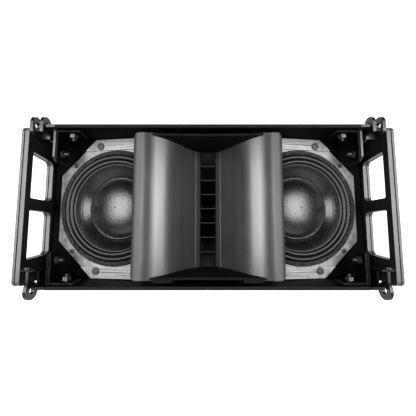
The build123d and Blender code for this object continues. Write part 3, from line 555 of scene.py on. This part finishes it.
for side, sfx in ((-1, "left"), (1, "right")):
    tf = W(side)
    body = "cone_" + sfx
    # cone with its shallow stiffening steps
    prof = []
    for i in range(0, 49):
        r = 32.3 + (CONE_R - 32.3) * i / 48
        prof.append((r, cone_v(r) + 0.05 + (0.05 * math.sin((r - 65) * 1.15) if r > 66.5 else 0.0)))
    thick = [(r, w - 1.15) for r, w in prof[::-1]]
    v, f = lathe(prof + thick, 160, tf)
    o = new_obj("cone_body_" + sfx, v, f, M["cone"], body)
    recalc(o)
    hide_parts("woofer_cone_" + sfx)
    # dust cap: shallow dome that meets the cone at a glue bead
    zc = cone_z(CAP_R) + 0.15
    H = 21.0
    prof = []
    for i in range(0, 41):
        a = math.radians(90.0 * i / 40)
        r = CAP_R * math.sin(a)
        w = zc + H * math.cos(a) ** 1.08
        prof.append((r, w))
    prof[0] = (0.001, zc + H)
    inner = [(r * 0.985, w - 1.0) for r, w in prof[::-1] if w - 1.0 > zc - 0.4]
    inner[-1] = (0.001, zc + H - 1.0)
    v, f = lathe(prof + inner, 160, tf)
    o = new_obj("dust_dome_" + sfx, v, f, M["cap"], body)
    recalc(o)
    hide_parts("dust_cap_" + sfx)
    # glue bead round the dome, with its small unevenness
    v, f = [], []
    seg, m = 240, 10
    for i in range(seg):
        a = 2 * math.pi * i / seg
        rr = 0.62 + 0.10 * noise.noise(Vector((math.cos(a) * 3, math.sin(a) * 3, side)))
        for k in range(m):
            b = 2 * math.pi * k / m
            v.append(tf((CAP_R + 0.1 + rr * math.cos(b)) * math.cos(a), (CAP_R + 0.1 + rr * math.cos(b)) * math.sin(a), zc + 0.55 + rr * math.sin(b)))
    for i in range(seg):
        for k in range(m):
            f.append((i * m + k, ((i + 1) % seg) * m + k, ((i + 1) % seg) * m + (k + 1) % m, i * m + (k + 1) % m))
    o = new_obj("glue_bead_" + sfx, v, f, M["glue"], body)
    recalc(o)

    # surround: two half rolls in 16 sectors, each sector stretching between frame and cone
    S0 = -2.0
    mid = (CONE_R + SURR_R) / 2
    line = [(CONE_R - 3.0, S0 - 0.3), (CONE_R - 1.0, S0 - 0.1)]
    for r0, r1 in ((CONE_R, mid), (mid, SURR_R)):
        c, wd = (r0 + r1) / 2, (r1 - r0) / 2
        for i in range(0 if r0 == CONE_R else 1, 17):
            t = math.pi * i / 16
            line.append((c - wd * math.cos(t), S0 + 6.2 * math.sin(t) ** 0.9))
    line += [(SURR_R + 1.5, S0), (117.5, S0)]
    under_l = [(r, w - 0.6) for r, w in line[::-1]]
    NS = 16
    for k in range(NS):
        a0 = 2 * math.pi * k / NS
        a1 = 2 * math.pi * (k + 1) / NS
        v, f = lathe(line + under_l, 12, tf, a0, a1)
        o = new_obj("surround_%s_%02d" % (sfx, k), v, f, M["cloth"], None)
        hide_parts("woofer_surround_" + sfx)
        am = (a0 + a1) / 2
        p0 = tf(94.0 * math.cos(am), 94.0 * math.sin(am), S0)
        p1 = tf(108.5 * math.cos(am), 108.5 * math.sin(am), S0)
        recalc(o)
        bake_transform(o)

# gaskets: pressed felt rings with a lumpy surface
for side, sfx in ((-1, "left"), (1, "right")):
    tf = W(side)
    v, f = [], []
    seg = 420
    prof = [(112.3, -1.9), (112.3, 0.4), (112.9, 1.15), (114.0, 1.55), (115.2, 1.7), (116.4, 1.75), (117.6, 1.75), (118.8, 1.65), (120.0, 1.3), (120.7, 0.7), (120.9, 0.0), (120.9, -1.9)]
    n = len(prof)
    for i in range(seg):
        a = 2 * math.pi * i / seg
        c, s = math.cos(a), math.sin(a)
        for k, (r, w) in enumerate(prof):
            if 2 <= k <= n - 3:
                q = Vector((r * c * 0.33, r * s * 0.33, side * 7.0))
                w += 0.55 * noise.noise(q * 1.6) + 0.30 * noise.noise(q * 4.3)
                w = min(w, 2.4)
            v.append(tf(r * c, r * s, w))
    for i in range(seg):
        j = (i + 1) % seg
        for k in range(n):
            k2 = (k + 1) % n
            f.append((i * n + k, j * n + k, j * n + k2, i * n + k2))
    o = new_obj("gasket_ring_" + sfx, v, f, M["felt"], "cabinet")
    recalc(o)
    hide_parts("woofer_gaskets")

# ------------------------------------------------------------------ studio


def stage_plane():
    """One pale sheet: floor well below the hung cabinet, curving up into a wall far behind."""
    prof = [(-6.0, 0.0)]
    for i in range(0, 13):
        t = math.pi / 2 * i / 12
        prof.append((3.2 + 1.6 * math.sin(t), 1.6 - 1.6 * math.cos(t)))
    prof.append((4.8, 7.0))
    verts, faces = [], []
    for y, z in prof:
        verts += [(-9.0, y, z - 1.25), (9.0, y, z - 1.25)]
    for i in range(len(prof) - 1):
        faces.append((2 * i, 2 * i + 1, 2 * i + 3, 2 * i + 2))
    me = bpy.data.meshes.new("floor")
    me.from_pydata(verts, [], faces)
    for p in me.polygons:
        p.use_smooth = True
    o = bpy.data.objects.new("floor", me)
    bpy.context.scene.collection.objects.link(o)
    g = G("floor_white")
    n = g.noise(1.3, 2)
    g.col(g.mixc(n, (0.90, 0.90, 0.90), (0.94, 0.94, 0.94)))
    g.rough(0.85)
    g.spec(0.2)
    far = g.n("ShaderNodeSeparateXYZ")
    g.link(g.tc.outputs["Object"], far.inputs[0])
    mr = g.n("ShaderNodeMapRange")
    mr.inputs["From Min"].default_value = 0.55
    mr.inputs["From Max"].default_value = 1.05
    g.link(far.outputs["Y"], mr.inputs["Value"])
    g.b.inputs["Emission Color"].default_value = (1, 1, 1, 1)
    g.link(g.math("MULTIPLY", mr.outputs["Result"], 1.05), g.b.inputs["Emission Strength"])
    me.materials.append(g.m)


stage_plane()


def area(name, loc, target, size, size_y, radiance):
    d = bpy.data.lights.new(name, "AREA")
    d.shape = "RECTANGLE"
    d.size, d.size_y = size, size_y
    d.energy = radiance * math.pi * size * size_y
    o = bpy.data.objects.new(name, d)
    bpy.context.scene.collection.objects.link(o)
    o.location = loc
    v = Vector(target) - Vector(loc)
    o.rotation_euler = v.to_track_quat("-Z", "Y").to_euler()
    return o


for sx, nm in ((-1, "left"), (1, "right")):
    # large soft box 32 degrees off the front on each side
    area("box_" + nm, (sx * 0.90, -1.42, 0.02), (0.0, 0.0, -0.15), 0.95, 1.05, 19.5)
    # narrow strip far out on each side, for the lips and rails
    area("strip_" + nm, (sx * 1.75, -0.10, -0.05), (sx * 0.14, 0.02, -0.15), 0.45, 1.0, 2.0)
area("top_box", (0.0, -0.35, 1.7), (0.0, 0.1, 0.0), 1.4, 0.6, 3.0)

world = bpy.data.worlds.new("studio")
bpy.context.scene.world = world
world.use_nodes = True
bg = world.node_tree.nodes["Background"]
bg.inputs["Color"].default_value = (1.0, 1.0, 1.0, 1.0)
bg.inputs["Strength"].default_value = 0.04
bpy.context.scene.view_settings.view_transform = "Standard"
